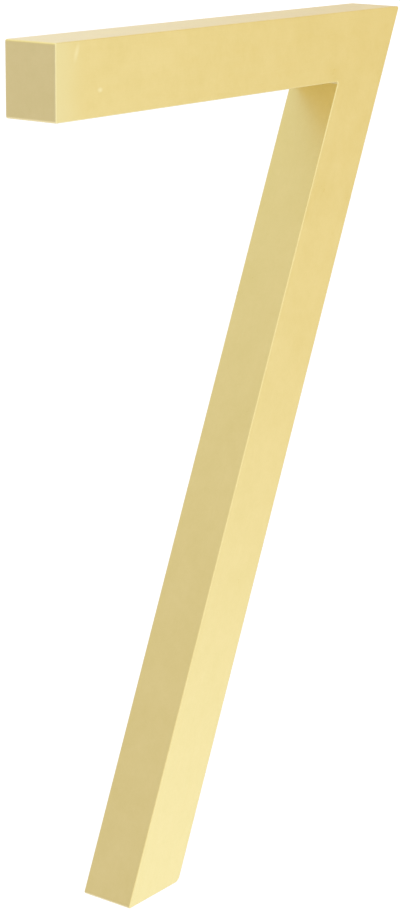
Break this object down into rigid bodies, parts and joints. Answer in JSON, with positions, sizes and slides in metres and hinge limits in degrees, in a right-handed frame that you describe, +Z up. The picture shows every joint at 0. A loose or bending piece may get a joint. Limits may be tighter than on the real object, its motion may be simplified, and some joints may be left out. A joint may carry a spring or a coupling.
{
  "type": "house number",
  "caption": "House number seven in solid satin brass: a level bar and a slanting leg of nearly square section, crisp eased edges, flat back with tapped stud holes.",
  "frame": {"origin": "centre of the corner stud hole's mouth on the flat back, where the centre lines of the bar and the leg cross", "axes": "+Z up the digit's height, +X to the right as the digit is read from the front, +Y out of the back into the wall, so the front faces -Y"},
  "size_m": [0.1317, 0.0137, 0.2029],
  "materials": {
    "satin_brass": "fine satin, unlacquered, pale gold"
  },
  "bodies": {
    "root": {"number_seven": "satin_brass"}
  },
  "joints": []
}
